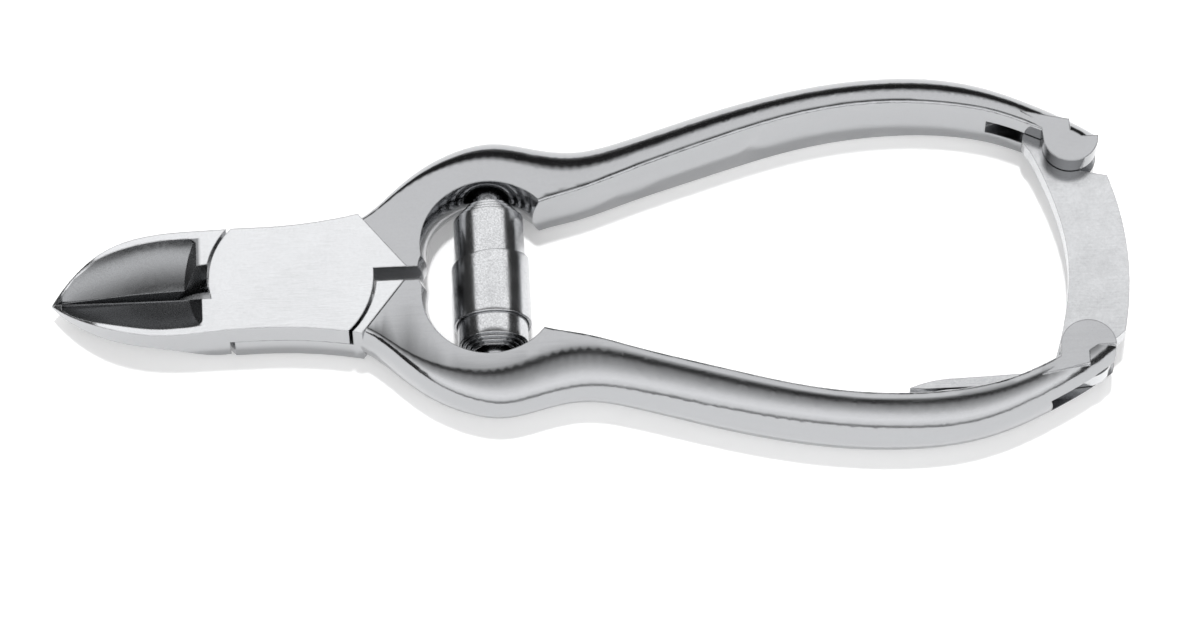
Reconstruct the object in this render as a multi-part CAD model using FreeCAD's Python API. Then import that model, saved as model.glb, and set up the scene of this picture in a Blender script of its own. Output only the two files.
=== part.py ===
# Nail nipper with lap joint, barrel spring and handle lock.
# Millimetres. +X runs from the jaws to the handle ends, +Z is the ground front face.
# The shapes are built about the pivot axis with Z = 0 on the back face of the joint,
# and are then moved so that the origin is under the middle of the whole tool.

import FreeCAD, Part
import math
import os

V = FreeCAD.Vector

# Head and lap joint
HEAD_THICKNESS = 8.0
HEAD_HALF_WIDTH = 7.2
HEAD_FLARE = 1.35
JAW_ARC_RADIUS = 10.0
ROOT_ARC_RADIUS = 11.35
ARC_GAP = 0.42
PLATE_GAP = 0.04
PLATE_CORNER_CUT = 1.0
FACE_END_X = 16.2
FRONT_SHOULDER_Y = 0.7
BACK_SHOULDER_Y = 1.2

# Jaws
TIP_X = 30.7
TIP_Z = 1.9
EDGE_Z = 1.9
EDGE_CLEARANCE = 0.025
CROWN_RADIUS = 9.5
RIM_WIDTH = 0.85
HOLLOW_SAG = 0.95
LOWER_HOLLOW_SAG = 0.5
HOLLOW_END_SLOPE = 0.45
HOLLOW_END_X = 11.3
LOWER_HOLLOW_END_X = 10.7
HOLLOW_CORNER_RADIUS = 1.6
LIP_WIDTH = 0.75
LIP_HEIGHT = 1.6

# Bows round the spring
BOW_CENTRE_X = 26.2
BOW_CENTRE_Y = 3.4
BOW_RADIUS = 9.2
BOW_BULGE = 1.2
BOW_INNER_X = 21.6
BOW_INNER_RADIUS = 5.05
BOW_CREST_Y = 19.3

# Handles
NUB_X = 33.0
NUB_Y = 8.85
WAIST_X = 38.1
WAIST_Y = 17.5
BELLY_X = 79.5
BELLY_Y = 26.0
BELLY_DEPTH = 5.25
BELLY_WIDTH = 10.8
ROOT_WIDTH = 7.6
END_WIDTH = 9.2
END_THICKNESS = 9.1
EDGE_ROUND = 0.45
SIDE_FLAT = 0.6
RAIL_STEP = 60.0

# Handle ends and lock
LUG_X = 102.9
LUG_Y = 15.0
LUG_RADIUS = 3.6
SLOT_WIDTH = 3.2
SLOT_REACH = 10.6
SLOT_RUN_OUT = 4.2
SLOT_DEPTH = 5.0
LEVER_THICKNESS = 2.8
LOCK_PIN_RADIUS = 1.1
LOCK_PIN_CLEARANCE = 0.03
PIN_TIP_WALL = 1.2
BOSS_RADIUS = 3.2
BAR_INNER_X = 101.5
BAR_OUTER_X = 109.3
TAIL_LENGTH = 23.2
TAIL_TOP_Y = 17.5
TAIL_DEPTH = 1.3
LEAF_WIDTH = 2.4
LEAF_THICKNESS = 0.35
LEAF_GAP = 0.08
RIVET_SETBACK = 6.2
RIVET_RADIUS = 0.8
RIVET_HEAD_RADIUS = 1.2
RIVET_HEAD_HEIGHT = 0.5
RIVET_DEPTH = 2.0
RIVET_CLEARANCE = 0.04

# Pivot screw
SCREW_RADIUS = 2.25
SCREW_HEAD_RADIUS = 3.2
SCREW_HEAD_HEIGHT = 1.4
SCREW_CLEARANCE = 0.03
SCREW_TIP_WALL = 1.2
SCREW_SLOT_WIDTH = 1.0
SCREW_SLOT_DEPTH = 0.7

# Barrel spring and its studs
SPRING_X = 26.6
SPRING_RADIUS = 5.3
SPRING_CORE_RADIUS = 2.45
SPRING_STRIP = 0.42
SPRING_TURNS = 4.7
SPRING_HALF_LENGTH = 10.5
SPRING_TOP_FALL = 2.2
SPRING_LOW_FALL = 1.25
SPRING_OUTER_TOP = 3.4
SPRING_OUTER_LOW = -6.5
SPRING_OUTER_SLOPE = 2.2
SPRING_STEP_TURNS = 0.3
SPRING_POINTS_PER_TURN = 10
STUD_RADIUS = 1.8
STUD_SEAT = 3.0
STUD_LENGTH = 3.5

MID = HEAD_THICKNESS / 2
TAIL_END_X = LUG_X - TAIL_LENGTH
RIVET_X = TAIL_END_X - RIVET_SETBACK
FAR = 200.0


def face_of(edges):
    """Planar face inside a closed run of edges."""
    return Part.Face(Part.Wire(Part.__sortEdges__(edges)))


def prism(points, z0, z1):
    """Straight-sided plate between two heights, from its plan corners."""
    corners = [V(x, y, z0) for x, y in points]
    wire = Part.makePolygon(corners + corners[:1])
    return Part.Face(wire).extrude(V(0, 0, z1 - z0))


def curve(points):
    """Smooth edge through points."""
    spline = Part.BSplineCurve()
    spline.interpolate(points)
    return spline.toShape()


def pulled_curve(poles):
    """Cubic curve from the first pole to the last, pulled towards the two between them."""
    bezier = Part.BezierCurve()
    bezier.setPoles(poles)
    return bezier.toShape()


def line(a, b):
    return Part.LineSegment(a, b).toShape()


def disc(x, y, radius, z0, z1):
    return Part.makeCylinder(radius, z1 - z0, V(x, y, z0))


def turned_over(shape):
    """Half turn about the long axis in the mid plane of the head."""
    copy = shape.copy()
    copy.rotate(V(0, 0, MID), V(1, 0, 0), 180)
    return copy


def head_outline():
    """Half outline of the head: x back from the pivot, and half width."""
    w = HEAD_HALF_WIDTH
    return [(-TIP_X, 0.0), (-0.885 * TIP_X, 0.47 * w), (-0.713 * TIP_X, 0.855 * w),
            (-0.544 * TIP_X, 1.005 * w), (-0.37 * TIP_X, 1.015 * w), (-6.3, w),
            (0.0, w + 0.07), (5.5, w + 0.45 * HEAD_FLARE), (9.6, w + HEAD_FLARE)]


def handle_stations():
    """Stations of the upper handle: x, outer y, inner y, width, depth of the crown."""
    rise = BELLY_Y - WAIST_Y
    reach = BELLY_X - WAIST_X
    corner = HEAD_HALF_WIDTH + HEAD_FLARE
    ring = BOW_CREST_Y - corner
    widen = BELLY_WIDTH - ROOT_WIDTH
    swell = BELLY_WIDTH - END_WIDTH
    fall = BELLY_Y - LUG_Y - LUG_RADIUS
    tail = LUG_X - BELLY_X

    def bow(x, height, inner, width, crown):
        return (x, corner + height * ring, inner, ROOT_WIDTH + width * widen, crown * BELLY_DEPTH)

    def handle(x, outer, thickness, width):
        depth = thickness * BELLY_DEPTH
        return (x, outer, outer - depth, width, depth - EDGE_ROUND - SIDE_FLAT)

    def waist_to_belly(share, height, thickness, width):
        return handle(WAIST_X + share * reach, WAIST_Y + height * rise, thickness, ROOT_WIDTH + width * widen)

    def belly_to_lug(share, drop, thickness, width):
        return handle(BELLY_X + share * tail, BELLY_Y - drop * fall, thickness, END_WIDTH + width * swell)

    return [
        bow(8.6, -0.03, -1.6, 0.0, 0.24),
        bow(11.3, 0.12, -1.3, 0.0, 0.3),
        bow(14.6, 0.42, -0.7, 0.03, 0.44),
        bow(18.4, 0.71, 0.9, 0.12, 0.62),
        bow(22.6, 0.91, 3.5, 0.25, 0.8),
        bow(27.7, 1.0, 6.4, 0.37, 0.98),
        bow(NUB_X, 0.9, NUB_Y, 0.46, 1.08),
        (WAIST_X, WAIST_Y, NUB_Y + 1.35, ROOT_WIDTH + 0.6 * widen, 1.06 * BELLY_DEPTH),
        waist_to_belly(0.15, 0.14, 1.21, 0.72),
        waist_to_belly(0.4, 0.51, 1.15, 0.94),
        waist_to_belly(0.7, 0.86, 1.04, 1.0),
        handle(BELLY_X, BELLY_Y, 1.0, BELLY_WIDTH - 0.3 * swell),
        belly_to_lug(0.35, 0.09, 0.99, 0.25),
        belly_to_lug(0.6, 0.33, 0.92, 0.1),
        belly_to_lug(0.83, 0.67, 0.9, 0.0),
        belly_to_lug(1.04, 1.05, 0.9, 0.0),
        belly_to_lug(1.2, 1.42, 0.9, 0.0),
    ]


def handle_section(x, outer, inner, width, crown):
    """Runs of the D section at x, each as its two ends and, where it bends, the two poles between.

    Going round from the back inner edge: flat inner side, small round, side flat, crown, and back.
    """
    half = width / 2
    side = inner + EDGE_ROUND
    shoulder = outer - crown
    reach = shoulder + crown * 4 / 3
    bend = EDGE_ROUND * 0.45

    def at(y, z):
        return V(x, y, MID + z)
    in_front, in_back = at(inner, half - EDGE_ROUND), at(inner, -half + EDGE_ROUND)
    return [
        [in_back, in_front],
        [in_front, at(inner, half - bend), at(inner + bend, half), at(side, half)],
        [at(side, half), at(shoulder, half)],
        [at(shoulder, half), at(reach, half), at(reach, -half), at(shoulder, -half)],
        [at(shoulder, -half), at(side, -half)],
        [at(side, -half), at(inner + bend, -half), at(inner, -half + bend), in_back],
    ]


def rail(poles):
    """Smooth curve along the handle through one pole of every section; its parameter grows with x."""
    spline = Part.BSplineCurve()
    spline.interpolate(Points=poles, Parameters=[pole.x / RAIL_STEP for pole in poles])
    return spline


def skin(runs):
    """Smooth face that passes along the handle through the same run of every section."""
    rails = [rail(list(poles)) for poles in zip(*runs)]
    degree = len(rails) - 1
    first = rails[0]
    surface = Part.BSplineSurface()
    surface.buildFromPolesMultsKnots([r.getPoles() for r in rails], [degree + 1, degree + 1],
                                     first.getMultiplicities(), [0.0, 1.0], first.getKnots(),
                                     False, False, degree, first.Degree)
    return surface.toShape()


def end_face(runs):
    """Flat end of the blank, bounded by one section."""
    edges = [line(*run) if len(run) == 2 else pulled_curve(run) for run in runs]
    return Part.Face(Part.Wire(edges))


def handle_blank():
    """Forged bow and handle, before the bow is opened and the end is slotted."""
    sections = [handle_section(*station) for station in handle_stations()]
    faces = [skin([section[i] for section in sections]) for i in range(len(sections[0]))]
    faces += [end_face(sections[0]), end_face(sections[-1])]
    shell = Part.Compound(faces)
    shell.sewShape()
    blank = Part.Solid(shell.Shells[0])
    if blank.Volume < 0:
        blank.reverse()
    return blank


def bow_cutter(x, y, radius):
    """Opening of the bow: its wall swells inwards towards the mid plane, as a forging's does."""
    half = BELLY_WIDTH
    top = V(radius, 0, MID + half)
    bottom = V(radius, 0, MID - half)
    reach = BOW_BULGE * (half / (HEAD_THICKNESS / 2)) ** 2
    wide_top = V(radius - BOW_BULGE + reach, 0, MID + half)
    wide_bottom = V(radius - BOW_BULGE + reach, 0, MID - half)
    waist = V(radius - BOW_BULGE, 0, MID)
    wall = Part.Arc(wide_top, waist, wide_bottom).toShape()
    axis_top = V(0, 0, top.z)
    axis_bottom = V(0, 0, bottom.z)
    profile = face_of([wall, line(wide_bottom, axis_bottom), line(axis_bottom, axis_top),
                       line(axis_top, wide_top)])
    cutter = profile.revolve(V(0, 0, 0), V(0, 0, 1), 360)
    cutter.translate(V(x, y, 0))
    return cutter


def lug():
    """Rounded end of the handle, which carries a lock pin, with the web that blends it in."""
    low, high = MID - END_WIDTH, MID + END_WIDTH
    round_end = disc(LUG_X, LUG_Y, LUG_RADIUS, low, high)
    inner_half = round_end.common(Part.makeBox(FAR, FAR, FAR, V(LUG_X - FAR / 2, LUG_Y - FAR, -FAR / 2)))
    r = LUG_RADIUS
    web = prism([(LUG_X - 1.75 * r, LUG_Y + 1.1 * r), (LUG_X - 1.2 * r, LUG_Y + 0.72 * r),
                 (LUG_X - 1.03 * r, LUG_Y + 0.4 * r), (LUG_X - 0.99 * r, LUG_Y - 0.05 * r),
                 (LUG_X, LUG_Y - 0.05 * r), (LUG_X, LUG_Y + 0.7 * r)], low, high)
    return inner_half.fuse(web)


def ear_grinding():
    """What is ground off the handle end to leave the ears flat, running out along the handle."""
    start = LUG_X - 9.0
    end = LUG_X + 10.0
    flat = END_THICKNESS / 2
    over = BELLY_WIDTH
    corners = [V(start, 0, flat + 0.45), V(start + 5.0, 0, flat), V(end, 0, flat), V(end, 0, over),
               V(start, 0, over)]
    wedge = Part.Face(Part.makePolygon(corners + corners[:1])).extrude(V(0, 2 * BELLY_Y, 0))
    wedge.translate(V(0, 0, MID))
    return [wedge, turned_over(wedge).mirror(V(0, 0, 0), V(0, 1, 0))]


def lock_slot():
    """Slot sawn between the two ears, running out through the outer side near the end."""
    floor_x = LUG_X - SLOT_REACH
    floor_y = LUG_Y + SLOT_DEPTH
    run_out_x = LUG_X - SLOT_RUN_OUT
    end_x = LUG_X + 2 * LUG_RADIUS
    return prism([(floor_x - 0.6, 0), (floor_x, floor_y), (run_out_x, floor_y + 1.7), (run_out_x + 1.0, BELLY_Y),
                  (end_x, BELLY_Y), (end_x, 0)], MID - SLOT_WIDTH / 2, MID + SLOT_WIDTH / 2)


def end_trim():
    """Everything past the lug centre that lies outside the lug's round end."""
    low, high = MID - BELLY_WIDTH, MID + BELLY_WIDTH
    block = Part.makeBox(FAR, FAR, high - low, V(LUG_X, LUG_Y - FAR / 2, low))
    return block.cut(disc(LUG_X, LUG_Y, LUG_RADIUS, low, high))


def head_plate():
    """Flat ground head, both layers, from the jaw arc to the slanting end of the ground face."""
    points = head_outline()[4:]
    upper = [V(x, y, 0) for x, y in points]
    lower = [V(x, -y, 0) for x, y in points]
    up_edge = curve(upper)
    low_edge = curve(lower)
    step = V(FACE_END_X, 0, 0)
    edges = [up_edge, low_edge, line(upper[0], lower[0]), line(upper[-1], step), line(lower[-1], step)]
    return face_of(edges).extrude(V(0, 0, HEAD_THICKNESS))


def layer(radius_left, radius_right, z0, z1):
    """Round pocket about the pivot: one radius on the jaw side, another on the handle side."""
    left = disc(0, 0, radius_left, z0, z1).common(Part.makeBox(FAR, FAR, FAR, V(-FAR, -FAR / 2, z0 - 1)))
    right = disc(0, 0, radius_right, z0, z1).common(Part.makeBox(FAR, FAR, FAR, V(0, -FAR / 2, z0 - 1)))
    return left.fuse(right)


def joint_core():
    """Front plate of the lap joint with the upper bow and handle."""
    low, high = -FAR / 4, FAR / 4
    body = head_plate().fuse(handle_blank())
    body = body.cut(bow_cutter(BOW_CENTRE_X, BOW_CENTRE_Y, BOW_RADIUS))
    body = body.cut(bow_cutter(BOW_INNER_X, 0, BOW_INNER_RADIUS))
    body = body.fuse(lug()).cut(ear_grinding())
    body = body.cut(end_trim()).cut(lock_slot())
    other_plate = layer(JAW_ARC_RADIUS + ARC_GAP, ROOT_ARC_RADIUS + ARC_GAP, low, MID + PLATE_GAP / 2)
    body = body.cut(other_plate)
    left_block = Part.makeBox(FAR, FAR, FAR / 2, V(-FAR, -FAR / 2, low))
    body = body.cut(left_block.cut(disc(0, 0, JAW_ARC_RADIUS, low, high)))
    right_block = Part.makeBox(FAR, FAR, FAR / 2, V(0, FRONT_SHOULDER_Y - FAR, low))
    body = body.cut(right_block.cut(disc(0, 0, ROOT_ARC_RADIUS, low, high)))
    return body.cut(corner_cut())


def corner_cut():
    """Bevel on the corner of the plate that would catch on the other jaw."""
    x = -math.sqrt(JAW_ARC_RADIUS ** 2 - HEAD_HALF_WIDTH ** 2)
    y = HEAD_HALF_WIDTH
    cut = PLATE_CORNER_CUT
    return prism([(x - cut, y - cut), (x + cut, y + cut), (x - cut, y + cut)], MID, FAR / 4)


def jaw_block(side):
    """Plan of one jaw, from its tip to inside the joint, at full thickness."""
    points = head_outline()[:6]
    outer = curve([V(x, side * y, 0) for x, y in points])
    near = side * EDGE_CLEARANCE
    tip = V(points[0][0], 0, 0)
    back = V(points[-1][0], side * points[-1][1], 0)
    inner = V(points[-1][0], 0, 0)
    block = face_of([outer, line(back, inner), line(inner, tip)]).extrude(V(0, 0, HEAD_THICKNESS))
    gap = Part.makeBox(FAR, 2 * EDGE_CLEARANCE, FAR, V(-FAR, -EDGE_CLEARANCE, -FAR / 2))
    return block.cut(gap)


def jaw_front():
    """Space above the jaws' falling front face."""
    t = HEAD_THICKNESS
    profile = [(-TIP_X - 1, TIP_Z - 0.6), (-TIP_X, TIP_Z + 0.1), (-0.945 * TIP_X, 0.42 * t),
               (-0.885 * TIP_X, 0.58 * t), (-0.8 * TIP_X, 0.75 * t), (-0.713 * TIP_X, 0.835 * t),
               (-0.6 * TIP_X, 0.868 * t), (-0.46 * TIP_X, 0.9 * t), (-0.33 * TIP_X, 0.948 * t),
               (-0.2 * TIP_X, t)]
    edge = curve([V(x, -FAR / 8, z) for x, z in profile])
    first = edge.Vertexes[0].Point
    last = edge.Vertexes[-1].Point
    over_first = V(first.x, first.y, 2 * t)
    over_last = V(last.x, last.y, 2 * t)
    face = face_of([edge, line(last, over_last), line(over_last, over_first), line(over_first, first)])
    return face.extrude(V(0, FAR / 4, 0))


def jaw_crown():
    """Round back of the jaws: arcs of the crown radius whose lowest line falls towards the joint."""
    stations = [(-TIP_X - 2, TIP_Z - 0.4), (-0.95 * TIP_X, TIP_Z - 0.25), (-0.86 * TIP_X, 0.195 * HEAD_THICKNESS),
                (-0.75 * TIP_X, 0.125 * HEAD_THICKNESS), (-0.63 * TIP_X, 0.04 * HEAD_THICKNESS),
                (-0.46 * TIP_X, -0.155 * HEAD_THICKNESS), (-0.29 * TIP_X, -0.375 * HEAD_THICKNESS),
                (-0.1 * TIP_X, -0.62 * HEAD_THICKNESS)]
    reach = 0.968 * CROWN_RADIUS
    lift = CROWN_RADIUS - math.sqrt(CROWN_RADIUS ** 2 - reach ** 2)
    wires = []
    for x, z in stations:
        left = V(x, -reach, z + lift)
        right = V(x, reach, z + lift)
        top_left = V(x, -reach, 3 * HEAD_THICKNESS)
        top_right = V(x, reach, 3 * HEAD_THICKNESS)
        arc = Part.Arc(left, V(x, 0, z), right).toShape()
        wires.append(Part.Wire([arc, line(right, top_right), line(top_right, top_left), line(top_left, left)]))
    return Part.makeLoft(wires, True, False)


def hollow_section(x, rim_y, rim_z, lip_y, lip_z, sag, side):
    """Ground hollow across the jaw: a concave arc from the rim down and up again to the lip."""
    chord_y = rim_y - lip_y
    chord_z = rim_z - lip_z
    length = math.hypot(chord_y, chord_z)
    mid_y = (rim_y + lip_y) / 2 + sag * chord_z / length
    mid_z = (rim_z + lip_z) / 2 - sag * chord_y / length
    rim = V(x, side * rim_y, rim_z)
    lip = V(x, side * lip_y, lip_z)
    top = 2 * HEAD_THICKNESS
    arc = Part.Arc(lip, V(x, side * mid_y, mid_z), rim).toShape()
    over_rim = V(x, side * (rim_y + 0.12), top)
    over_lip = V(x, side * (lip_y - 0.5 * LIP_WIDTH), top)
    return Part.Wire([arc, line(rim, over_rim), line(over_rim, over_lip), line(over_lip, lip)])


def hollow_cutter(side):
    """Hollow of one jaw, from near the tip to the wall in front of the joint."""
    w = HEAD_HALF_WIDTH
    t = HEAD_THICKNESS
    sag = HOLLOW_SAG if side > 0 else LOWER_HOLLOW_SAG
    # share of the tip length, rim half width, rim height, share of the lip
    shape = [(0.955, 0.17 * w, 0.39 * t, 0.16), (0.9, 0.43 * w, 0.535 * t, 0.3),
             (0.8, 0.715 * w, 0.74 * t, 0.5), (0.7, 0.875 * w, 0.84 * t, 0.7),
             (0.55, w, 0.885 * t, 0.9), (0.42, w, 0.91 * t, 1.0), (0.25, w, 0.93 * t, 1.3)]
    wires = []
    for share, rim_y, rim_z, lip in shape:
        wires.append(hollow_section(-share * TIP_X, rim_y - RIM_WIDTH * min(1.0, 4 * (1 - share)), rim_z,
                                    LIP_WIDTH * lip, EDGE_Z + LIP_HEIGHT * lip,
                                    sag * (rim_y / w) ** 2, side))
    return Part.makeLoft(wires, True, False)


def jaw(side):
    """One hollow-ground jaw with its bevelled cutting edge."""
    block = jaw_block(side).common(jaw_crown()).cut(jaw_front())
    hollow = hollow_cutter(side).common(hollow_plan(side))
    block = block.cut(hollow).cut(edge_bevel(side))
    return block.cut(throat(side))


def hollow_plan(side):
    """Plan limit of the hollow, with the round corner that the grinding wheel leaves."""
    end = HOLLOW_END_X if side > 0 else LOWER_HOLLOW_END_X
    limit = HEAD_HALF_WIDTH - RIM_WIDTH
    plan = prism([(-TIP_X - 2, 0), (-end, 0), (-end, limit), (-TIP_X - 2, limit)],
                 -HEAD_THICKNESS, 3 * HEAD_THICKNESS)
    corner = [e for e in plan.Edges if e.BoundBox.ZLength > HEAD_THICKNESS
              and abs(e.BoundBox.Center.x + end) < 1e-6 and abs(e.BoundBox.Center.y - limit) < 1e-6]
    plan = plan.makeFillet(HOLLOW_CORNER_RADIUS, corner).common(hollow_run_out(end))
    return plan if side > 0 else plan.mirror(V(0, 0, 0), V(0, 1, 0))


def hollow_run_out(end):
    """Space in front of the slanting end wall, where the wheel runs out of the hollow."""
    low, high = EDGE_Z - HEAD_THICKNESS, 2 * HEAD_THICKNESS
    foot = -end - (HEAD_THICKNESS - low) * HOLLOW_END_SLOPE
    profile = [V(-2 * TIP_X, 0, low), V(foot, 0, low), V(-end, 0, HEAD_THICKNESS), V(-end, 0, high),
               V(-2 * TIP_X, 0, high)]
    return Part.Face(Part.makePolygon(profile + profile[:1])).extrude(V(0, 2 * HEAD_HALF_WIDTH, 0))


def edge_bevel(side):
    """Steep bevel from the lip down to the cutting edge."""
    wires = []
    for share, lip in [(1.02, 0.08), (0.9, 0.3), (0.7, 0.7), (0.42, 1.0), (0.2, 1.3)]:
        x = -share * TIP_X
        slope = LIP_WIDTH / LIP_HEIGHT
        over = 2 * HEAD_THICKNESS
        edge = V(x, -side * 0.5, EDGE_Z - 0.5 / slope)
        crest = V(x, side * (over - EDGE_Z) * slope * 0.92 * lip ** 0.15, over)
        wires.append(Part.makePolygon([edge, crest, V(x, -side * 0.5, over), edge]))
    return Part.makeLoft(wires, True, False)


def throat(side):
    """Relief behind the heel of the cutting edge."""
    depth = 0.45 if side > 0 else 1.0
    start = 0.47 * TIP_X
    end = JAW_ARC_RADIUS - 1.0
    a = V(-start, 0, -FAR / 4)
    b = V(-(start + end) / 2, side * depth, -FAR / 4)
    c = V(-end, side * depth, -FAR / 4)
    d = V(-end, -side, -FAR / 4)
    e = V(-start, -side, -FAR / 4)
    return face_of([curve([a, b, c]), line(c, d), line(d, e), line(e, a)]).extrude(V(0, 0, FAR / 2))


def front_half():
    """Lower jaw, front plate and upper handle, one forging."""
    body = joint_core()
    lower = jaw(-1).cut(disc(0, 0, JAW_ARC_RADIUS + ARC_GAP, -1, MID + PLATE_GAP / 2))
    body = body.fuse(lower).cut(jaw_front())
    body = body.cut(screw_hole()).cut(stud_hole(1)).cut(catch_hole())
    return body.removeSplitter()


def back_half():
    """Upper jaw, back plate and lower handle, the other forging."""
    body = turned_over(joint_core())
    extra = Part.makeBox(FACE_END_X + 4 - ROOT_ARC_RADIUS * 0.6, BACK_SHOULDER_Y, 3 * HEAD_THICKNESS,
                         V(ROOT_ARC_RADIUS * 0.6, -BACK_SHOULDER_Y, -HEAD_THICKNESS))
    extra = extra.cut(disc(0, 0, ROOT_ARC_RADIUS, -FAR, FAR))
    body = body.cut(extra)
    upper = jaw(1).cut(disc(0, 0, JAW_ARC_RADIUS + ARC_GAP, MID - PLATE_GAP / 2, FAR / 4))
    body = body.fuse(upper)
    body = body.cut(screw_bore()).cut(stud_hole(-1)).cut(hinge_hole()).cut(rivet_hole())
    return body.removeSplitter()


def screw_hole():
    """Blind hole in the front plate for the screw's thread."""
    return disc(0, 0, SCREW_RADIUS, MID - 1, HEAD_THICKNESS - SCREW_TIP_WALL)


def screw_bore():
    """Running bore and head recess in the back plate."""
    bore = disc(0, 0, SCREW_RADIUS + SCREW_CLEARANCE, -1, MID + 1)
    recess = disc(0, 0, SCREW_HEAD_RADIUS + SCREW_CLEARANCE, -1, SCREW_HEAD_HEIGHT + SCREW_CLEARANCE)
    return bore.fuse(recess)


def pivot_screw():
    """Slotted screw, let in from the back and turned into the front plate."""
    shank = disc(0, 0, SCREW_RADIUS, SCREW_HEAD_HEIGHT - 0.5, HEAD_THICKNESS - SCREW_TIP_WALL)
    head = disc(0, 0, SCREW_HEAD_RADIUS, 0, SCREW_HEAD_HEIGHT)
    slot = Part.makeBox(2 * SCREW_HEAD_RADIUS + 2, SCREW_SLOT_WIDTH, SCREW_SLOT_DEPTH,
                        V(-SCREW_HEAD_RADIUS - 1, -SCREW_SLOT_WIDTH / 2, 0))
    return shank.fuse(head).cut(slot).removeSplitter()


def stud_seat_y():
    """Height of the bow's wall at the middle of its thickness, where a spring stud stands."""
    dx = SPRING_X - BOW_CENTRE_X
    radius = BOW_RADIUS - BOW_BULGE
    return BOW_CENTRE_Y + math.sqrt(radius ** 2 - dx ** 2)


def stud_hole(side):
    """Blind hole in the bow for a spring stud."""
    y = stud_seat_y()
    return Part.makeCylinder(STUD_RADIUS, STUD_SEAT + 2, V(SPRING_X, side * (y - 2), MID), V(0, side, 0))


def spring_stud(side):
    """Stud pressed into the bow, inside the end turn of the spring."""
    y = stud_seat_y()
    body = Part.makeCylinder(STUD_RADIUS, STUD_SEAT + STUD_LENGTH, V(SPRING_X, side * (y - STUD_LENGTH), MID),
                             V(0, side, 0))
    tip = [e for e in body.Edges if abs(abs(e.BoundBox.Center.y) - (y - STUD_LENGTH)) < 1e-6]
    return body.makeChamfer(0.3, tip)


def strip_edges(turn):
    """Upper and lower edge of the spring's strip: long at the core, cut back on the outermost turn."""
    long_turns = SPRING_TURNS - 1
    early = min(turn, long_turns) / long_turns
    late = max(0.0, turn - long_turns)
    share = min(1.0, late / SPRING_STEP_TURNS)
    step = share * share * (3 - 2 * share)
    top = SPRING_HALF_LENGTH - SPRING_TOP_FALL * early
    low = -SPRING_HALF_LENGTH + SPRING_LOW_FALL * early
    slope = SPRING_OUTER_SLOPE * late
    return top + (SPRING_OUTER_TOP - top) * step - slope * step, low + (SPRING_OUTER_LOW - low) * step


def barrel_spring():
    """Strip rolled into a spiral about the Y axis, its edges tapering from the middle turns."""
    pitch = (SPRING_RADIUS - SPRING_STRIP - SPRING_CORE_RADIUS) / SPRING_TURNS
    steps = int(round(SPRING_TURNS * SPRING_POINTS_PER_TURN))
    corners = {"inner top": [], "inner low": [], "outer top": [], "outer low": []}
    for i in range(steps + 1):
        turn = SPRING_TURNS * i / steps
        ray = V(math.cos(2 * math.pi * turn), 0, math.sin(2 * math.pi * turn))
        top, low = strip_edges(turn)
        inner = ray * (SPRING_CORE_RADIUS + pitch * turn)
        outer = ray * (SPRING_CORE_RADIUS + pitch * turn + SPRING_STRIP)
        corners["inner top"].append(inner + V(0, top, 0))
        corners["inner low"].append(inner + V(0, low, 0))
        corners["outer top"].append(outer + V(0, top, 0))
        corners["outer low"].append(outer + V(0, low, 0))
    edge = {name: curve(points) for name, points in corners.items()}
    same_way = 1
    faces = [Part.makeRuledSurface(edge[a], edge[b], same_way) for a, b in
             [("inner top", "inner low"), ("outer top", "outer low"),
              ("inner top", "outer top"), ("inner low", "outer low")]]
    for end in (0, -1):
        order = [corners[name][end] for name in ("inner top", "inner low", "outer low", "outer top")]
        faces.append(Part.Face(Part.makePolygon(order + order[:1])))
    shell = Part.Compound(faces)
    shell.sewShape()
    strip = Part.Solid(shell.Shells[0] if shell.Shells else shell)
    if strip.Volume < 0:
        strip.reverse()
    strip.translate(V(SPRING_X, 0, MID))
    return strip


def catch_hole():
    """Blind hole through the back ear and across the slot for the catch pin."""
    return pin_at(1, LOCK_PIN_RADIUS)


def hinge_hole():
    return pin_at(-1, LOCK_PIN_RADIUS)


def pin_at(side, radius):
    """Pin pressed in from the back, stopping short of the front face of the lug."""
    back = MID - END_THICKNESS / 2
    return disc(LUG_X, side * LUG_Y, radius, back, MID + END_THICKNESS / 2 - PIN_TIP_WALL)


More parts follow.
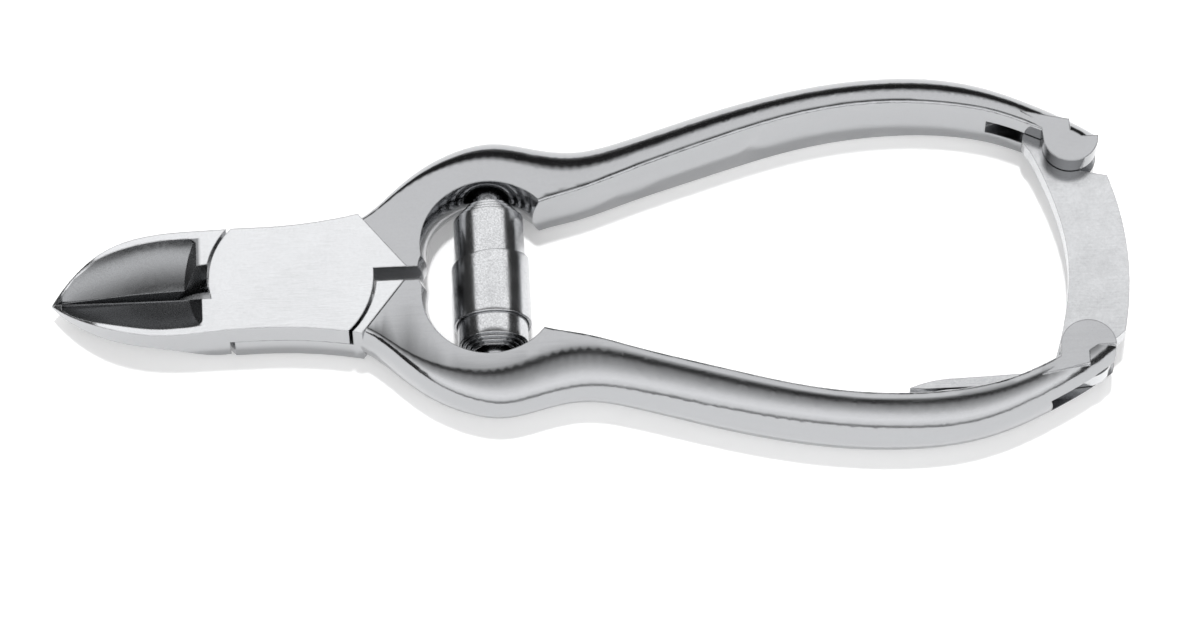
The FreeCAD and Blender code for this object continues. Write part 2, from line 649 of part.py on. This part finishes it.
def lever_plan():
    """Plan of the lock lever: hook, crescent bar, boss and finger tail."""
    y = LUG_Y
    pin = LOCK_PIN_RADIUS
    gap = 0.35
    mouth_low = y - pin - gap
    mouth_high = y + pin + gap
    neck = LUG_X - 3.3
    inner_x = BAR_INNER_X
    outer_x = BAR_OUTER_X
    left_top = V(LUG_X - 5.2, y - 0.4, 0)
    hook_left = V(LUG_X - 6.0, mouth_high + 0.3, 0)
    hook_top = V(LUG_X - 4.6, mouth_high + 1.5, 0)
    lip_top = V(LUG_X - 2.3, mouth_high + 1.2, 0)
    lip_tip = V(LUG_X - 1.75, mouth_high, 0)
    throat_high = V(neck, mouth_high, 0)
    throat_low = V(neck, mouth_low, 0)
    tongue = V(LUG_X + 1.0, mouth_low, 0)
    shoulder_in = V(LUG_X + 1.2, y - LUG_RADIUS, 0)
    shoulder_out = V(outer_x - 1.8, y - LUG_RADIUS - 0.8, 0)
    low_shoulder = V(outer_x - 1.2, -y + 3.2, 0)
    low_in = V(LUG_X + 3.6, -y + 1.9, 0)
    boss_right = V(LUG_X + BOSS_RADIUS, -y, 0)
    boss_low = V(LUG_X, -y - BOSS_RADIUS, 0)
    boss_corner = V(LUG_X + BOSS_RADIUS * 0.7071, -y - BOSS_RADIUS * 0.7071, 0)
    tail_low = V(LUG_X - 6.5, -TAIL_TOP_Y - TAIL_DEPTH + 0.05, 0)
    tail_low_end = V(TAIL_END_X + 2.0, -TAIL_TOP_Y - TAIL_DEPTH, 0)
    tail_tip = V(TAIL_END_X, -TAIL_TOP_Y - TAIL_DEPTH + 0.2, 0)
    tail_round = V(TAIL_END_X + 2.0, -TAIL_TOP_Y - 0.45, 0)
    tail_top = V(TAIL_END_X + 6.0, -TAIL_TOP_Y, 0)
    tail_root = V(LUG_X - 8.5, -TAIL_TOP_Y + 0.25, 0)
    bar_foot = V(LUG_X - 4.2, -y - 0.6, 0)
    return face_of([
        curve([bar_foot, V(inner_x - 0.85, -8.6, 0), V(inner_x, -1.2, 0), V(inner_x - 1.3, 7.4, 0), left_top]),
        curve([left_top, hook_left, hook_top]),
        line(hook_top, lip_top), line(lip_top, lip_tip), line(lip_tip, throat_high),
        line(throat_high, throat_low), line(throat_low, tongue), line(tongue, shoulder_in),
        line(shoulder_in, shoulder_out),
        Part.Arc(shoulder_out, V(outer_x, -2.4, 0), low_shoulder).toShape(),
        line(low_shoulder, low_in), line(low_in, boss_right),
        Part.Arc(boss_right, boss_corner, boss_low).toShape(),
        line(boss_low, tail_low), line(tail_low, tail_low_end),
        line(tail_low_end, tail_tip),
        curve([tail_tip, tail_round, tail_top]), line(tail_top, tail_root),
        line(tail_root, bar_foot)])


def lock_lever():
    """Flat lever that closes across the handle ends."""
    half = LEVER_THICKNESS / 2
    plan = lever_plan()
    plan.translate(V(0, 0, MID - half))
    body = plan.extrude(V(0, 0, LEVER_THICKNESS))
    bore = disc(LUG_X, -LUG_Y, LOCK_PIN_RADIUS + LOCK_PIN_CLEARANCE, -FAR / 4, FAR / 4)
    return body.cut(bore)


def inner_face_y(x):
    """Height of the upper handle's inner face at x."""
    inner_edge = rail([handle_section(*station)[0][0] for station in handle_stations()])
    return inner_edge.value(x / RAIL_STEP).y


def leaf_spring():
    """Thin strip riveted to the lower handle, rising to the underside of the finger tail."""
    touch = TAIL_END_X + 5
    tail_under = -TAIL_TOP_Y - TAIL_DEPTH
    base = [V(x, LEAF_GAP + lift - inner_face_y(x), 0)
            for x, lift in [(RIVET_X - 2, 0.0), (RIVET_X, 0.0), (RIVET_X + 2.5, LEAF_GAP)]]
    base += [V(touch, tail_under - LEAF_THICKNESS - LEAF_GAP, 0), V(touch + 3, tail_under - 2 * LEAF_THICKNESS, 0)]
    up = V(0, LEAF_THICKNESS, 0)
    low_edge = curve(base)
    high_edge = curve([p + up for p in base])
    face = face_of([low_edge, high_edge, line(base[0], base[0] + up), line(base[-1], base[-1] + up)])
    face.translate(V(0, 0, MID - LEAF_WIDTH / 2))
    body = face.extrude(V(0, 0, LEAF_WIDTH))
    return body.cut(rivet_shank(RIVET_RADIUS + RIVET_CLEARANCE))


def rivet_shank(radius):
    y = -inner_face_y(RIVET_X)
    return Part.makeCylinder(radius, RIVET_DEPTH + 1, V(RIVET_X, y + 1, MID), V(0, -1, 0))


def rivet_hole():
    return rivet_shank(RIVET_RADIUS)


def leaf_spring_rivet():
    """Rivet through the foot of the leaf spring."""
    y = -inner_face_y(RIVET_X)
    tilt = abs(inner_face_y(RIVET_X + RIVET_HEAD_RADIUS) - inner_face_y(RIVET_X - RIVET_HEAD_RADIUS)) / 2
    seat = y + LEAF_THICKNESS + 2 * LEAF_GAP + tilt
    shank = Part.makeCylinder(RIVET_RADIUS, RIVET_DEPTH + seat - y, V(RIVET_X, seat, MID), V(0, -1, 0))
    head = Part.makeCylinder(RIVET_HEAD_RADIUS, RIVET_HEAD_HEIGHT, V(RIVET_X, seat, MID), V(0, 1, 0))
    return shank.fuse(head).removeSplitter()


def export(name, shape, shift):
    """Write one solid, moved to the tool's own origin."""
    placed = shape.copy()
    placed.translate(shift)
    placed.exportStep("parts/%s.step" % name)
    print("%-20s solids %d volume %9.2f valid %s" % (name, len(placed.Solids), placed.Volume, placed.isValid()))


def main():
    os.makedirs("parts", exist_ok=True)
    shift = V((TIP_X - BAR_OUTER_X) / 2, 0, BELLY_WIDTH / 2 - MID)
    export("front_half", front_half(), shift)
    export("back_half", back_half(), shift)
    export("pivot_screw", pivot_screw(), shift)
    export("upper_spring_stud", spring_stud(1), shift)
    export("lower_spring_stud", spring_stud(-1), shift)
    export("barrel_spring", barrel_spring(), shift)
    export("lock_lever", lock_lever(), shift)
    export("lock_catch_pin", pin_at(1, LOCK_PIN_RADIUS), shift)
    export("lock_hinge_pin", pin_at(-1, LOCK_PIN_RADIUS), shift)
    export("lock_leaf_spring", leaf_spring(), shift)
    export("leaf_spring_rivet", leaf_spring_rivet(), shift)


main()
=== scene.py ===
import math

import bpy
import numpy as np
from mathutils import Matrix, Vector


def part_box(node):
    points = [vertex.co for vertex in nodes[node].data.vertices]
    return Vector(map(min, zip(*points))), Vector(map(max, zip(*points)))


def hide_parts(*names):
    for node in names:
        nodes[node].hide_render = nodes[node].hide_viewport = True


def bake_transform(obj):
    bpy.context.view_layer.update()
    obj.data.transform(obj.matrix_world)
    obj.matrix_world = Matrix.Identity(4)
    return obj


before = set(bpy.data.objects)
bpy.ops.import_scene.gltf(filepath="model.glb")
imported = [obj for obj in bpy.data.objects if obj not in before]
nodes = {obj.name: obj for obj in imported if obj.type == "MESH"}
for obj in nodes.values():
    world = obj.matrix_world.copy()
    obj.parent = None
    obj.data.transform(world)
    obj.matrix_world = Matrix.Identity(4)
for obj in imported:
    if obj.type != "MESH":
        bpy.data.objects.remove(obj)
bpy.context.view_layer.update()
MM = 0.001
MID_HEIGHT = 5.4


# Helpers for materials and meshes.
# A material helper takes sockets or plain numbers and returns the socket with its result.
# Lengths are in metres, unless a name ends in mm.
def linear(colour):
    """sRGB hex colour as linear red, green, blue and alpha."""
    parts = [int(colour[i:i + 2], 16) / 255 for i in (1, 3, 5)]
    return [c / 12.92 if c <= 0.04045 else ((c + 0.055) / 1.055) ** 2.4 for c in parts] + [1.0]


def add(tree, kind, sockets=None, **properties):
    """New node; a socket takes either a link from another socket or a constant."""
    node = tree.nodes.new(kind)
    for name, value in properties.items():
        setattr(node, name, value)
    for name, value in (sockets or {}).items():
        if isinstance(value, bpy.types.NodeSocket):
            tree.links.new(value, node.inputs[name])
        else:
            node.inputs[name].default_value = value
    return node


def math_node(tree, operation, first, second=0.0):
    return add(tree, "ShaderNodeMath", {0: first, 1: second}, operation=operation).outputs[0]


def ramp(tree, value, low, high, to_low=0.0, to_high=1.0):
    """Value taken from the range low..high to the range to_low..to_high, and held at the ends."""
    node = add(tree, "ShaderNodeMapRange", {"Value": value, "From Min": low, "From Max": high,
                                            "To Min": to_low, "To Max": to_high})
    return node.outputs["Result"]


def spread(tree, noise, to_low, to_high, half_span=0.2):
    """Noise within half_span of 0.5 taken to the range to_low..to_high, and held beyond it."""
    return ramp(tree, noise, 0.5 - half_span, 0.5 + half_span, to_low, to_high)


def curve(tree, value, stops):
    """Number that runs through the stops, pairs of a place from 0 to 1 and the number there."""
    node = add(tree, "ShaderNodeValToRGB", {"Fac": value})
    for place, _ in stops[1:-1]:
        node.color_ramp.elements.new(place)
    for element, (place, level) in zip(node.color_ramp.elements, stops):
        element.position = place
        element.color = (level, level, level, 1.0)
    return node.outputs["Color"]


def grain(tree, place, length_mm, width_mm):
    """Streaks along X: noise stretched to length_mm along and width_mm across."""
    across = 1 / (width_mm * MM)
    stretched = add(tree, "ShaderNodeMapping", {"Vector": place, "Scale": (1 / (length_mm * MM), across, across)})
    noise = add(tree, "ShaderNodeTexNoise", {"Vector": stretched.outputs[0], "Scale": 1.0, "Detail": 3.0,
                                             "Roughness": 0.6})
    return noise.outputs["Fac"]


def speckle(tree, place, size_mm, detail=3.0):
    """Even noise whose spots are size_mm across."""
    noise = add(tree, "ShaderNodeTexNoise", {"Vector": place, "Scale": 1 / (size_mm * MM), "Detail": detail,
                                             "Roughness": 0.65})
    return noise.outputs["Fac"]


def mix(tree, share, first, second):
    """Number between first and second by share."""
    return add(tree, "ShaderNodeMix", {0: share, 2: first, 3: second}, data_type="FLOAT").outputs[0]


def tint(tree, share, first, second):
    """Colour between first and second by share."""
    return add(tree, "ShaderNodeMix", {0: share, 6: first, 7: second}, data_type="RGBA").outputs[2]


def steel_shader(material, colour, roughness, height, height_mm, edge_mm):
    """Bare metal: height becomes a bump of height_mm, over corners rounded by edge_mm."""
    tree = material.node_tree
    edges = add(tree, "ShaderNodeBevel", {"Radius": edge_mm * MM}, samples=4)
    bump = add(tree, "ShaderNodeBump", {"Strength": 1.0, "Distance": height_mm * MM, "Height": height,
                                        "Normal": edges.outputs[0]})
    shader = add(tree, "ShaderNodeBsdfPrincipled", {"Metallic": 1.0, "Base Color": colour, "Roughness": roughness,
                                                    "Normal": bump.outputs[0]})
    add(tree, "ShaderNodeOutputMaterial", {"Surface": shader.outputs[0]})


def new_material(name):
    """Empty material, its node tree and the socket with the place on the object."""
    material = bpy.data.materials.new(name)
    material.use_nodes = True
    material.node_tree.nodes.clear()
    place = add(material.node_tree, "ShaderNodeTexCoord").outputs["Object"]
    return material, material.node_tree, place


def dress(names, material):
    """Gives the named solids this one material."""
    for name in names:
        nodes[name].data.materials.clear()
        nodes[name].data.materials.append(material)


def mesh_object(name, points, faces):
    mesh = bpy.data.meshes.new(name)
    mesh.from_pydata(points, [], faces)
    piece = bpy.data.objects.new(name, mesh)
    bpy.context.scene.collection.objects.link(piece)
    return piece


# Forged halves.
# Stainless steel, brushed along the handles, ground on the front face and the rims of the
# jaws, and hollow ground inside the jaws. Place and slope tell the three finishes apart.
HEAD_END = -0.0231
JAW_ROOT = -0.0314
HOLLOW_END = -0.0504
FACE_HEIGHT = 0.00936
TIP = -0.07
RIM_END = -0.05
RIM_UNIT = 10 * MM
# share of the way from TIP to RIM_END, and how far the rim's inner edge is from the long axis
RIM_STOPS = [(0.02, 0.0), (0.07, 0.107), (0.155, 0.276), (0.305, 0.447), (0.46, 0.545), (0.69, 0.625),
             (1.0, 0.635)]

forged, tree, place = new_material("satin_steel_forging")
spot = add(tree, "ShaderNodeSeparateXYZ", {"Vector": place})
along = spot.outputs["X"]
off_axis = math_node(tree, "ABSOLUTE", spot.outputs["Y"])
geometry = add(tree, "ShaderNodeNewGeometry")
facing = add(tree, "ShaderNodeSeparateXYZ", {"Vector": geometry.outputs["Normal"]})


def towards_tip(border, softness):
    """1 on the tip's side of a border across the tool, and 0 on the other side."""
    return ramp(tree, along, border + softness, border - softness)


rim_line = math_node(tree, "MULTIPLY", curve(tree, ramp(tree, along, TIP, RIM_END), RIM_STOPS), RIM_UNIT)
within_rim = ramp(tree, math_node(tree, "SUBTRACT", rim_line, off_axis), 0.0, 0.00008)
hollow = math_node(tree, "MULTIPLY", towards_tip(HOLLOW_END, 0.0002), within_rim)
on_face = ramp(tree, spot.outputs["Z"], FACE_HEIGHT - 0.00002, FACE_HEIGHT + 0.00002)
ground = math_node(tree, "MAXIMUM", towards_tip(JAW_ROOT, 0.0002), on_face)
for limit in (ramp(tree, facing.outputs["Z"], 0.4, 0.5), towards_tip(HEAD_END, 0.0004),
              math_node(tree, "SUBTRACT", 1.0, hollow)):
    ground = math_node(tree, "MULTIPLY", ground, limit)


def by_finish(on_brushed, in_hollow, on_ground):
    return mix(tree, ground, mix(tree, hollow, on_brushed, in_hollow), on_ground)


BRUSH_DEPTH = 0.14
brushed = grain(tree, place, 9.0, 0.22)
fine = grain(tree, place, 2.2, 0.12)
pits = speckle(tree, place, 0.28)
cloud = speckle(tree, place, 7.0, 2.0)
height = by_finish(math_node(tree, "MULTIPLY", brushed, BRUSH_DEPTH), pits, fine)
rough = by_finish(spread(tree, brushed, 0.1, 0.16), spread(tree, pits, 0.22, 0.32), spread(tree, fine, 0.12, 0.2))
rough = math_node(tree, "ADD", rough, spread(tree, cloud, -0.015, 0.02, half_span=0.15))
tone = tint(tree, hollow, linear("#a6a7a9"), linear("#87888a"))
tone = tint(tree, ground, tone, linear("#cfd0d2"))
tone = tint(tree, spread(tree, pits, 0.0, 0.1, half_span=0.25), tone, linear("#77787a"))
steel_shader(forged, tone, rough, height, height_mm=0.005, edge_mm=0.2)
dress(("front_half", "back_half"), forged)


# Lock lever.
# Stainless steel plate with straight belt scratches along its length, a little duller than
# the ground head.
plate, tree, place = new_material("ground_plate_lever")
scratches = grain(tree, place, 3.0, 0.2)
dots = speckle(tree, place, 0.35)
cloud = speckle(tree, place, 4.0, 2.0)
rough = math_node(tree, "ADD", spread(tree, scratches, 0.15, 0.22), spread(tree, cloud, -0.02, 0.05, half_span=0.15))
tone = tint(tree, spread(tree, dots, 0.0, 0.3), linear("#c4c5c7"), linear("#9c9d9f"))
steel_shader(plate, tone, rough, mix(tree, 0.7, scratches, dots), height_mm=0.0025, edge_mm=0.12)
dress(("lock_lever",), plate)


# Pivot screw, lock pins, spring studs and rivet.
# Stainless steel bar with a fine even roughness and slightly duller patches. Little of it
# shows, so one material serves them all.
turned, tree, place = new_material("turned_steel")
dots = speckle(tree, place, 0.2, 2.0)
wear = speckle(tree, place, 1.5, 2.0)
rough = math_node(tree, "ADD", spread(tree, dots, 0.16, 0.26), spread(tree, wear, -0.02, 0.04, half_span=0.15))
tone = tint(tree, spread(tree, wear, 0.0, 0.35), linear("#cfd0d2"), linear("#96979a"))
steel_shader(turned, tone, rough, dots, height_mm=0.003, edge_mm=0.08)
dress(("pivot_screw", "upper_spring_stud", "lower_spring_stud", "lock_catch_pin", "lock_hinge_pin",
       "leaf_spring_rivet"), turned)


# Smooth shading of every solid.
# The solids come as flat facets; welding them and splitting only at real corners lets
# curved steel shade as one surface while the ground edges stay sharp.
WELD_DISTANCE = 0.002 * MM
SOLID_CORNER = 16
STRIP_CORNER = 40

for node in nodes.values():
    normals = node.data.attributes.get("custom_normal")
    if normals is not None:
        node.data.attributes.remove(normals)
    node.data.shade_smooth()
    node.modifiers.new("weld", "WELD").merge_threshold = WELD_DISTANCE
    node.modifiers.new("corners", "EDGE_SPLIT").split_angle = math.radians(SOLID_CORNER)


# Barrel spring.
# Spring steel strip, rolled into a spiral whose turns stand out less and less; the strip
# is long at the core and cut back on the outermost turn. Its numbers are in millimetres.
SPRING_CENTRE = (-12.7, 0.0, MID_HEIGHT)
SPRING_RADIUS = 5.3
SPRING_CORE = 2.45
STRIP = 0.42
STRIP_ROUNDING = 0.09
TURNS = 4.7
HALF_LENGTH = 10.5
UPPER_FALL = 2.2
LOWER_FALL = 1.25
STEP_TURNS = 0.3
OUTER_UPPER_END = 3.4
OUTER_LOWER_END = -6.5
OUTER_FALL = 2.2


def surface(name, points):
    """Mesh from a grid of points, rows along and columns round; both ends are capped."""
    rows, columns = points.shape[:2]
    index = np.arange(rows * columns).reshape(rows, columns)
    beside = np.roll(index, -1, axis=1)
    faces = np.stack([index[:-1], beside[:-1], beside[1:], index[1:]], axis=-1).reshape(-1, 4).tolist()
    faces.append(index[0][::-1].tolist())
    faces.append(index[-1].tolist())
    piece = mesh_object(name, (points.reshape(-1, 3) * MM).tolist(), faces)
    piece.data.validate()
    piece.data.shade_smooth()
    piece.modifiers.new("corners", "EDGE_SPLIT").split_angle = math.radians(STRIP_CORNER)
    return piece


def strip_section(thickness, low, high, round_mm, along):
    """Rectangle with rounded corners: offsets across the strip and heights along it, point by point."""
    quarter = np.linspace(0, math.pi / 2, 4)
    rise = np.linspace(low + round_mm, high - round_mm, along)[1:-1]
    corners = [(thickness - round_mm, high - round_mm, 0), (round_mm, high - round_mm, math.pi / 2),
               (round_mm, low + round_mm, math.pi), (thickness - round_mm, low + round_mm, 1.5 * math.pi)]
    across, heights = [], []
    for n, (corner_across, corner_height, start) in enumerate(corners):
        across.append(corner_across + round_mm * np.cos(start + quarter))
        heights.append(corner_height + round_mm * np.sin(start + quarter))
        if n == 1:
            across.append(np.zeros(along - 2))
            heights.append(rise[::-1])
        if n == 3:
            across.append(np.full(along - 2, thickness))
            heights.append(rise)
    return np.concatenate(across), np.concatenate(heights)


def spring_points():
    """Spiral of STRIP thickness: each turn lies one pitch outside the last, and its ends fall back."""
    pitch = (SPRING_RADIUS - STRIP - SPRING_CORE) / TURNS
    turn = np.linspace(0, TURNS, 236)
    long_turns = TURNS - 1
    early = np.minimum(turn, long_turns) / long_turns
    late = np.maximum(0.0, turn - long_turns)
    share = np.minimum(1.0, late / STEP_TURNS)
    step = share * share * (3 - 2 * share)
    top = HALF_LENGTH - UPPER_FALL * early
    low = -HALF_LENGTH + LOWER_FALL * early
    top = top + (OUTER_UPPER_END - top) * step - OUTER_FALL * late * step
    low = low + (OUTER_LOWER_END - low) * step
    rows = []
    for t, y0, y1 in zip(turn, low, top):
        across, heights = strip_section(STRIP, y0, y1, STRIP_ROUNDING, 22)
        radius = SPRING_CORE + pitch * t + across
        angle = 2 * math.pi * t
        rows.append(np.stack([SPRING_CENTRE[0] + radius * math.cos(angle), SPRING_CENTRE[1] + heights,
                              SPRING_CENTRE[2] + radius * math.sin(angle)], axis=-1))
    return np.array(rows)


strip_steel, tree, place = new_material("spring_strip_steel")
dots = speckle(tree, place, 0.22)
cloud = speckle(tree, place, 2.5, 2.0)
rough = math_node(tree, "ADD", spread(tree, dots, 0.17, 0.25), spread(tree, cloud, -0.02, 0.03, half_span=0.15))
tone = tint(tree, spread(tree, dots, 0.0, 0.5), linear("#d2d3d5"), linear("#8c8d8f"))
steel_shader(strip_steel, tone, rough, dots, height_mm=0.004, edge_mm=0.05)

spring = surface("barrel_spring_strip", spring_points())
spring.data.materials.append(strip_steel)
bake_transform(spring)
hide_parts("barrel_spring")


# Leaf spring under the lever's tail.
# Thin spring steel strip, riveted flat on the lower handle and bent up to the tail. Its
# numbers are in millimetres, and the climb's are shares of its length.
LEAF_THICKNESS = 0.35
LEAF_HALF_WIDTH = 1.2
LEAF_ROUNDING = 0.06
CLIMB_START = 0.3
CLIMB_LENGTH = 0.55
leaf_low, leaf_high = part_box("lock_leaf_spring")


def leaf_points():
    """Strip along X whose height follows a smooth rise from the rivet to the tail."""
    x = np.linspace(leaf_low.x, leaf_high.x, 60) / MM
    share = (x - x[0]) / (x[-1] - x[0])
    foot = leaf_low.y / MM
    top = leaf_high.y / MM - LEAF_THICKNESS
    climb = np.clip((share - CLIMB_START) / CLIMB_LENGTH, 0, 1)
    base = foot + (top - foot) * climb * climb * (3 - 2 * climb)
    across, heights = strip_section(LEAF_THICKNESS, -LEAF_HALF_WIDTH, LEAF_HALF_WIDTH, LEAF_ROUNDING, 8)
    rows = []
    for px, py in zip(x, base):
        rows.append(np.stack([np.full(len(across), px), py + across, MID_HEIGHT + heights], axis=-1))
    return np.array(rows)


leaf = surface("lever_leaf_strip", leaf_points())
leaf.data.materials.append(strip_steel)
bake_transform(leaf)
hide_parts("lock_leaf_spring")


# Floor.
# Matt white board that runs out of the picture on every side. A little glow, seen by the
# camera and in reflections only, makes it white without more light on the tool.
FLOOR_HALF = 0.75
FLOOR_HEIGHT = -0.00002
FLOOR_GLOW = 0.18

corners = [(x * FLOOR_HALF, y * FLOOR_HALF, FLOOR_HEIGHT) for x, y in ((-1, -1), (1, -1), (1, 1), (-1, 1))]
floor = mesh_object("floor", corners, [(0, 1, 2, 3)])
board, tree, place = new_material("matt_white_board")
paper = speckle(tree, place, 1.2, 2.0)
white = tint(tree, spread(tree, paper, 0.0, 0.1), linear("#ffffff"), linear("#f6f6f6"))
matt = add(tree, "ShaderNodeBsdfDiffuse", {"Color": white})
path = add(tree, "ShaderNodeLightPath")
seen = math_node(tree, "MAXIMUM", path.outputs["Is Camera Ray"],
                 math_node(tree, "MAXIMUM", path.outputs["Is Glossy Ray"], path.outputs["Is Transmission Ray"]))
lift = add(tree, "ShaderNodeEmission", {"Color": white, "Strength": math_node(tree, "MULTIPLY", seen, FLOOR_GLOW)})
shader = add(tree, "ShaderNodeAddShader", {0: matt.outputs[0], 1: lift.outputs[0]})
add(tree, "ShaderNodeOutputMaterial", {"Surface": shader.outputs[0]})
floor.data.materials.append(board)


# Light tent.
# Half round roof of white cloth along the tool, lit from behind with darker gaps, whose
# bands are what the polished handles show. The key lamp shines through it.
TENT_RADIUS = 0.8
TENT_HALF_LENGTH = 0.8
TENT_GLOW = 1.45
# degrees up from behind the tool, and brightness
TENT_BANDS = [(0, 0.3), (8, 0.1), (14, 0.02), (33, 0.02), (42, 0.5), (48, 0.95), (68, 1.0), (72, 0.5), (76, 0.04),
              (81, 0.04), (86, 0.15), (92, 0.3), (105, 0.5), (120, 0.78), (133, 1.08), (150, 1.25), (168, 1.0),
              (173, 0.35), (180, 0.25)]

x, angle = np.meshgrid(np.linspace(-TENT_HALF_LENGTH, TENT_HALF_LENGTH, 5), np.linspace(0, math.pi, 73))
points = np.stack([x, TENT_RADIUS * np.cos(angle), TENT_RADIUS * np.sin(angle)], axis=-1)
index = np.arange(x.size).reshape(x.shape)
quads = np.stack([index[:-1, :-1], index[:-1, 1:], index[1:, 1:], index[1:, :-1]], axis=-1).reshape(-1, 4)
tent = mesh_object("light_tent", points.reshape(-1, 3).tolist(), quads.tolist())
cloth, tree, place = new_material("tent_cloth")
spot = add(tree, "ShaderNodeSeparateXYZ", {"Vector": place})
half_turn = math_node(tree, "DIVIDE", math_node(tree, "ARCTAN2", spot.outputs["Z"], spot.outputs["Y"]), math.pi)
bands = curve(tree, half_turn, [(degrees / 180, level) for degrees, level in TENT_BANDS])
glow = add(tree, "ShaderNodeEmission", {"Color": bands, "Strength": TENT_GLOW})
add(tree, "ShaderNodeOutputMaterial", {"Surface": glow.outputs[0]})
tent.data.materials.append(cloth)
tent.visible_camera = False
tent.visible_shadow = False


# Key lamp and world.
# The sun lights the floor from almost overhead and draws the tool's shadow on it. It is kept
# out of glossy reflections, so the steel shows the tent, the floor and the grey world.
key = bpy.data.lights.new("key", "SUN")
key.energy = 1.9
key.angle = math.radians(4.5)
lamp = bpy.data.objects.new("key", key)
lamp.rotation_euler = (math.radians(-10), 0, 0)
lamp.visible_glossy = False
bpy.context.scene.collection.objects.link(lamp)

world = bpy.data.worlds.new("studio")
world.use_nodes = True
background = world.node_tree.nodes["Background"]
background.inputs["Color"].default_value = linear("#3a3a3a")
background.inputs["Strength"].default_value = 1.0
bpy.context.scene.world = world


# Camera.
# Long lens from the front, 65 degrees up, as in the picture. The picture's centre is given in
# millimetres from the pivot, to the right and up in the picture.
AZIMUTH = math.radians(-2.8)
ELEVATION = math.radians(65)
PIVOT = Vector((-39.3, 0, 1.4))
CENTRE_RIGHT = 40.63
CENTRE_UP = -1.03
PICTURE_WIDTH = 0.15643

right = Vector((math.cos(AZIMUTH), math.sin(AZIMUTH), 0))
up = Vector((-math.sin(ELEVATION) * math.sin(AZIMUTH), math.sin(ELEVATION) * math.cos(AZIMUTH), math.cos(ELEVATION)))
towards = right.cross(up)
centre = (right * CENTRE_RIGHT + up * CENTRE_UP + PIVOT) * MM
lens = bpy.data.cameras.new("camera")
lens.lens = 200
lens.sensor_width = 36
distance = PICTURE_WIDTH * lens.lens / lens.sensor_width
camera = bpy.data.objects.new("camera", lens)
turned_to_tool = Matrix((right, up, towards)).transposed().to_4x4()
camera.matrix_world = Matrix.Translation(centre + towards * distance) @ turned_to_tool
bpy.context.scene.collection.objects.link(camera)
bpy.context.scene.camera = camera
bpy.context.scene.view_settings.view_transform = "Standard"
